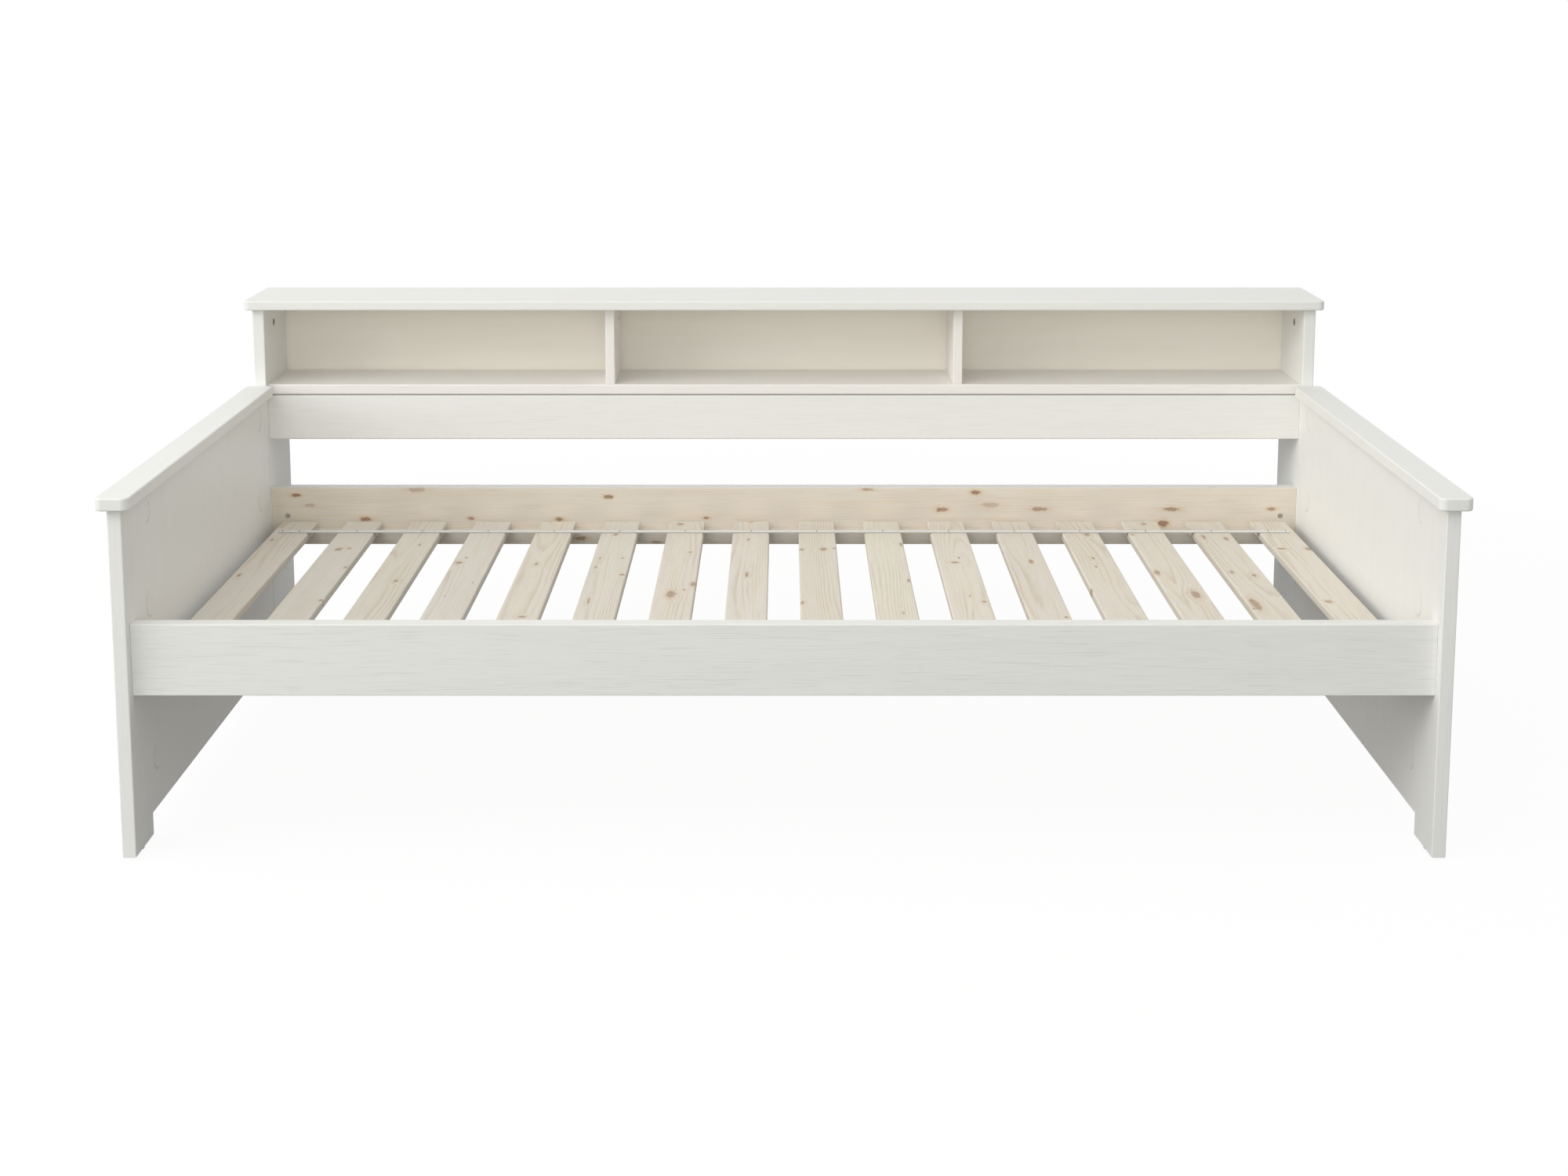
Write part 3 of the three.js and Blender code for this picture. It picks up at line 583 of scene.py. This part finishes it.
def batten_screw():
    # Head of a countersunk screw with a cross recess, facing up, with its rim at height 0. The two slots of
    # the cross differ a little in level, so that their floors never coincide
    head = add_primitive(bpy.ops.mesh.primitive_cone_add, "batten_screw", vertices=28, radius1=screw_tip,
                         radius2=screw_head, depth=screw_depth, location=(0, 0, -screw_depth / 2))
    bpy.ops.object.mode_set(mode="EDIT")
    bpy.ops.mesh.select_mode(type="FACE")
    select_faces(lambda centre, normal: normal.z > 0.9)
    bpy.ops.mesh.inset(thickness=screw_rim, depth=screw_dish)
    bpy.ops.object.mode_set(mode="OBJECT")
    apply_place()
    for length, width, level in ((recess_length, recess_width, recess_levels[0]),
                                 (recess_width, recess_length, recess_levels[1])):
        cutter = add_primitive(bpy.ops.mesh.primitive_cube_add, "recess", size=1, location=(0, 0, level))
        cutter.scale = (length, width, recess_height)
        apply_place()
        bpy.context.view_layer.objects.active = head
        cut = head.modifiers.new("recess", "BOOLEAN")
        cut.operation = "DIFFERENCE"
        cut.solver = "EXACT"
        cut.object = cutter
        bpy.ops.object.modifier_apply(modifier=cut.name)
        bpy.data.objects.remove(cutter)
    head.data.materials.append(zinc_plate)
    return head


def copy_to(model, name, place, turn=(0, 0, 0)):
    # A copy of a modelled piece with its place and turn in its own mesh
    piece = bpy.data.objects.new(name, model.data.copy())
    piece.data.name = name
    scene.collection.objects.link(piece)
    piece.data.transform(Euler(turn).to_matrix().to_4x4())
    piece.data.transform(Matrix.Translation(Vector(place)))
    return piece


zinc_plate = zinc("zinc plate", zinc_colour, roughness=0.34)
screw = batten_screw()
for end, name, side in battens:
    for number, slat in enumerate(screw_slats, 1):
        place = (middle_of(f"slat_{slat:02d}").x, face_to_mattress(name, side), middle_of(name).z)
        piece = copy_to(screw, f"batten_screw_{end}_{number}", place, (-side * math.pi / 2, 0, 0))
        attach(piece, "bed")
bpy.data.objects.remove(screw)

# Bolts and barrel nuts: zinc plated steel. The bolts go in from the outside, and each slotted nut sits in a
# cross hole in the rail's inner face.
nut_colour = (0.55, 0.53, 0.48, 1)


def dress_all(start, material):
    for name in nodes:
        if name.startswith(start):
            dress(name, material)


dress_all("bed_bolt", zinc_plate)
dress_all("barrel_nut", zinc("dull zinc plate", nut_colour, roughness=0.48))

# Slats: planed pine strips with round edges, unfinished, each with its own figure and knots.
# A knot is its place across the slat and along it, and its half sizes, in millimetres.
slat_knots = {
    1: [(-22, 240, 3, 11), (-22, -11, 3, 10), (18, -310, 4, 9)],
    2: [(-8, 171, 6, 11), (11, 177, 4, 6), (30, 43, 3, 7), (31, -172, 4, 6), (-15, -390, 5, 10)],
    3: [(11, 204, 2, 8), (11, -48, 4, 8), (-20, -330, 3, 8)],
    4: [(-23, 75, 7, 8), (-14, 110, 2, 6), (22, -61, 1.5, 4), (-14, -145, 1.5, 4), (12, -360, 5, 11)],
    5: [(-7, 65, 3, 9), (7, -270, 6, 6)],
    6: [(-6, 281, 5, 8), (-21, 105, 2, 7), (-24, 45, 2.4, 9), (20, 107, 2.5, 5), (27, -7, 4, 6),
        (-17, -175, 2, 18)],
    7: [(-12, 363, 6, 8), (16, 148, 2.5, 6), (16, -106, 2, 5), (30, -69, 4.5, 14), (-5, -135, 8, 22)],
    8: [(-1, 379, 3.5, 3), (-4, 243, 2.6, 9), (-3, -8, 3, 16), (20, -300, 4, 9)],
    9: [(10, 171, 6, 11), (31, 177, 4, 5), (-30, 168, 4, 7), (-32, -185, 3, 9), (5, -380, 4, 9)],
    10: [(30, 205, 3, 11), (30, -45, 2.5, 11), (10, -249, 2, 6)],
    11: [(-5, 76, 7, 8), (5, 110, 2, 6), (4, -145, 1.5, 5), (25, -180, 4, 5), (-18, -370, 5, 10)],
    12: [(8, 82, 4, 14), (26, -273, 3, 5), (-20, -350, 4, 8)],
    13: [(10, 282, 6, 11), (-2, 106, 2.5, 8), (-35, -107, 2, 12), (-5, 47, 2, 7)],
    14: [(6, 365, 5, 8), (-18, 316, 4, 5), (-29, 280, 4, 5), (-28, 6, 5, 15), (14, -135, 8, 26)],
    15: [(-22, 262, 3, 16), (18, 251, 4, 14), (-20, 10, 3, 10), (15, -12, 3.5, 10), (-31, -223, 2, 6),
         (-22, -195, 8, 36)],
    16: [(-20, 174, 7, 6), (29, 174, 6, 11), (-21, -179, 6, 7), (10, -380, 4, 9)]}
slat_knot_strength = 0.8
pith_aside = 0.06
pith_along = 2
pith_below = (0.05, 0.11)
slat_tilt = 0.35
slat_tone = (0.965, 1.01)
slat_green = (0.985, 1.01)
slat_blue = (0.96, 1.02)
chance = random.Random(16)
for number, marks in slat_knots.items():
    name = f"slat_{number:02d}"
    middle = middle_of(name)
    knots = []
    for x, y, width, length in marks:
        half_sizes = (width / 1000, length / 1000, knot_depth)
        knots.append(((middle.x + x / 1000, y / 1000, 0), half_sizes, slat_knot_strength))
    pith = (middle.x + chance.uniform(-pith_aside, pith_aside), chance.uniform(-pith_along, pith_along),
            middle.z - chance.uniform(*pith_below))
    tilt = (0, chance.uniform(-slat_tilt, slat_tilt), chance.uniform(-slat_tilt, slat_tilt))
    tone = chance.uniform(*slat_tone)
    tint = (tone, tone * chance.uniform(*slat_green), tone * chance.uniform(*slat_blue))
    dress(name, raw_board(name + " pine", "Y", pith, tilt, knots, tint))

# Tapes: two woven cotton tapes that keep the slats at their pitch, held on each slat by a wire staple across
# the tape, and by two on the end slats.
tape_colour = (0.95, 0.945, 0.9, 1)
tape_shade = (0.84, 0.835, 0.78, 1)
tape_edge_shade = (0.42, 0.4, 0.36, 1)
tape_roughness = 0.85
tape_sheen = 0.3
tape_relief = 0.00035
edge_shade_width = 0.0007
weave_pitch = 0.0011
weave_cross = 1.3
fuzz_scale = 700
fuzz_height = 0.5
wire_shade_colour = (0.3, 0.29, 0.27, 1)
staple_crown = 0.009
staple_offset = 0.0015
staple_wire = 0.0014
staple_thickness = 0.0006
staple_leg = 0.009
staple_rounding = 0.00018
end_slats = (1, 16)
end_staple_spread = 0.0165


def woven_tape(tape):
    # Twill: ridges of yarn that run aslant across the tape, with a dark band along its sides that is painted
    # shade, the contact shadow at the tape's edges
    material, tree, shader = new_material(tape + " weave")
    place = add_node(tree, "ShaderNodeTexCoord").outputs["Object"]
    axes = add_node(tree, "ShaderNodeSeparateXYZ", {0: place}).outputs
    turns = 2 * math.pi / weave_pitch
    slant = math_node(tree, "MULTIPLY", math_node(tree, "ADD", axes["X"], axes["Y"]), turns)
    cross = math_node(tree, "MULTIPLY", axes["Y"], turns * weave_cross)
    weave = math_node(tree, "MULTIPLY", math_node(tree, "SINE", slant), math_node(tree, "SINE", cross))
    weave = summed(tree, 0.5, (weave, 0.5))
    inputs = {"Vector": place, "Scale": fuzz_scale, "Detail": 3}
    fuzz = add_node(tree, "ShaderNodeTexNoise", inputs).outputs[0]
    height = summed(tree, weave, (fuzz, fuzz_height))
    colour = two_tone(tree, height, tape_shade, tape_colour)
    low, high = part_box(tape)
    away = math_node(tree, "ABSOLUTE", math_node(tree, "SUBTRACT", axes["Y"], middle_of(tape).y))
    # Painted shade: a dark band along each side of the tape
    edge = math_node(tree, "GREATER_THAN", away, (high.y - low.y) / 2 - edge_shade_width)
    colour = two_tone(tree, edge, colour, tape_edge_shade)
    set_surface(tree, shader, colour, tape_roughness, height, tape_relief, strength=0.7)
    shader.inputs["Sheen Weight"].default_value = tape_sheen
    return material


def wire_staple():
    # A flat wire bent down at both ends, with its crown's underside at height 0
    wire = add_primitive(bpy.ops.mesh.primitive_cube_add, "staple", size=1,
                         location=(0, 0, staple_thickness / 2))
    wire.scale = (staple_wire, staple_crown, staple_thickness)
    apply_place()
    bend = staple_crown / 2 - staple_thickness
    bpy.ops.object.mode_set(mode="EDIT")
    bpy.ops.mesh.select_mode(type="FACE")
    for end in (-1, 1):
        bpy.ops.mesh.select_all(action="SELECT")
        bpy.ops.mesh.bisect(plane_co=(0, end * bend, 0), plane_no=(0, 1, 0))
    select_faces(lambda centre, normal: normal.z < -0.9 and abs(centre.y) > bend)
    bpy.ops.mesh.extrude_region_move(TRANSFORM_OT_translate={"value": (0, 0, -staple_leg)})
    bpy.ops.object.mode_set(mode="OBJECT")
    bevel = wire.modifiers.new("drawn wire", "BEVEL")
    bevel.width = staple_rounding
    bevel.segments = 2
    bevel.angle_limit = math.radians(50)
    bpy.ops.object.modifier_apply(modifier=bevel.name)
    # The wire's dark colour is painted shade, standing in for the shadows and dark reflections on the staples
    wire.data.materials.append(zinc("shade darkened wire", wire_shade_colour, roughness=0.5))
    return wire


staple = wire_staple()
for end in ("front", "rear"):
    tape = "slat_tape_" + end
    dress(tape, woven_tape(tape))
    y = middle_of(tape).y + staple_offset
    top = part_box(tape)[1].z
    for number in slat_knots:
        middle = middle_of(f"slat_{number:02d}").x
        spots = [middle]
        if number in end_slats:
            spots = [middle - end_staple_spread, middle + end_staple_spread]
        for spot, x in enumerate(spots, 1):
            piece = copy_to(staple, f"staple_{end}_{number:02d}_{spot}", (x, y, top))
            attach(piece, "slat_base")
bpy.data.objects.remove(staple)

# Shelf unit: two gables from the floor, a shelf board and top cap with their grain along the bed, two
# dividers and a wide apron under the shelf board. All are glazed pine, doweled and cam locked together. The
# glaze on the shelf board and dividers is tinted warmer and lighter as painted light: warm bounce light.
# Painted light: a warmer, lighter tint standing in for warm bounce light in the compartments
shelf_warm_light_tint = (1.03, 1.003, 0.995)
gable_pith_outside = 0.1
for side, name in ((-1, "shelf_gable_left"), (1, "shelf_gable_right")):
    knots = [((0, 0.5, 0.2), (knot_depth, 0.014, 0.02), 0.5, (0, side, arc_drop))]
    pith = (side * (panel_middle + gable_pith_outside), 0.3, 0)
    dress(name, glazed_board(name + " glaze", "Z", pith, panel_figure, knots))
for side, name in ((-1, "shelf_divider_left"), (1, "shelf_divider_right")):
    pith = (side * 0.44, 0.6, 0)
    dress(name, glazed_board(name + " glaze", "Z", pith, figure=0.15, tint=shelf_warm_light_tint))
dress("shelf_board", glazed_board("shelf board glaze", "X", pith=(0, 0.3, 0.5), figure=0.3, tint=shelf_warm_light_tint))
dress("top_cap", glazed_board("top cap glaze", "X", pith=(0.4, 0.33, 0.66), figure=0.25))
# The dark band along the apron's top edge is painted shade: the shadow line under the shelf board
dress("back_apron", glazed_board("apron glaze", "X", pith=(0.2, 0.46, 0.4), figure=0.25,
                                 shaded_seam=("Z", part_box("back_apron")[1].z)))

# Back panel: a thin painted sheet nailed to the unit's back, a little yellower than the glazed boards. The
# flush heads of its nails show at the back.
sheet_light = (0.965, 0.928, 0.838, 1)
sheet_dark = (0.925, 0.882, 0.785, 1)
sheet_roughness = 0.5
sheet_relief = 0.0002
sheet_skin = 0.0002
sheet_fibre_tone = 0.6
sheet_cloud_tone = 0.4
sheet_fibre_dulling = 0.15
sheet_fibre_height = 0.5
nail_pitch = 0.125
nail_inset = 0.012
nail_head = 0.0024
nail_polish = 0.2
dent_edge = (nail_head * 0.8, nail_head * 1.3)


def painted_sheet():
    # A faint grain under the paint, and a row of nails near the top and the bottom edge
    material, tree, shader = new_material("painted sheet")
    growth, _, place = board_pattern(tree, "X", pith=(0.7, 0.2, 0.6), tilt=(0, 0.3, 0.2))
    share = summed(tree, 0.0, (growth["Fibre"], sheet_fibre_tone), (growth["Cloud"], sheet_cloud_tone))
    colour = two_tone(tree, share, sheet_light, sheet_dark)
    low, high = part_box("back_panel")
    row = (high.z - low.z) / 2 - nail_inset
    axes = add_node(tree, "ShaderNodeSeparateXYZ", {0: place}).outputs
    across = math_node(tree, "FRACT", math_node(tree, "DIVIDE", axes["X"], nail_pitch))
    across = math_node(tree, "MULTIPLY", math_node(tree, "SUBTRACT", across, 0.5), nail_pitch)
    level = math_node(tree, "ABSOLUTE", math_node(tree, "SUBTRACT", axes["Z"], middle_of("back_panel").z))
    level = math_node(tree, "SUBTRACT", level, row)
    away = math_node(tree, "SQRT", summed(tree, 0.0, (across, across), (level, level)))
    outside = math_node(tree, "GREATER_THAN", axes["Y"], high.y - sheet_skin)
    nail = math_node(tree, "MULTIPLY", math_node(tree, "LESS_THAN", away, nail_head), outside)
    dent = math_node(tree, "MULTIPLY", ramp(tree, away, dent_edge, (1, 0)), outside)
    colour = two_tone(tree, nail, colour, zinc_colour)
    rough = summed(tree, sheet_roughness, (growth["Fibre"], sheet_fibre_dulling), (nail, -nail_polish))
    height = summed(tree, 0.0, (growth["Fibre"], sheet_fibre_height), (dent, -1))
    set_surface(tree, shader, colour, rough, height, sheet_relief)
    feed(tree, shader.inputs["Metallic"], nail)
    return material


dress("back_panel", painted_sheet())

# Cam locks and pins: zinc alloy barrels with a cross slot in the uprights, each round the head of a pin that
# is screwed up into the top cap.
# Their dark colour is painted shade, standing in for the shadow in the bores round the cams
cam_shade_colour = (0.33, 0.32, 0.28, 1)
dress_all(("cam_lock", "cam_pin"), zinc("shade darkened cast zinc", cam_shade_colour, roughness=0.5))

# Seam dowels: fluted beech dowels that line up each side panel with its gable. They are unfinished, and the
# closed seam hides them.
beech_light = (0.78, 0.62, 0.44, 1)
beech_dark = (0.6, 0.42, 0.26, 1)
beech_late_tone = 0.3


def beech_wood():
    material, tree, shader = new_material("beech")
    growth = board_pattern(tree, "Y", pith=(0.99, 0, 0.2), tilt=(0, 0.5, 0.3))[0]
    share = summed(tree, growth["Fibre"], (growth["Late"], beech_late_tone))
    colour = two_tone(tree, share, beech_light, beech_dark)
    set_surface(tree, shader, colour, rough=0.6, height=growth["Fibre"], relief=0.0002)
    return material


dress_all("seam_dowel", beech_wood())

# Glides: nail-on discs of moulded plastic under the feet and gables. They keep the wood off the floor, and
# their surface is finely grained.
glide_light = (0.6, 0.6, 0.58, 1)
glide_dark = (0.5, 0.5, 0.48, 1)
glide_grain_scale = 1400


def glide_plastic():
    material, tree, shader = new_material("glide plastic")
    place = add_node(tree, "ShaderNodeTexCoord").outputs["Object"]
    inputs = {"Vector": place, "Scale": glide_grain_scale, "Detail": 2}
    grain = add_node(tree, "ShaderNodeTexNoise", inputs).outputs[0]
    colour = two_tone(tree, grain, glide_dark, glide_light)
    set_surface(tree, shader, colour, rough=0.55, height=grain, relief=0.00005)
    return material


dress_all("glide", glide_plastic())
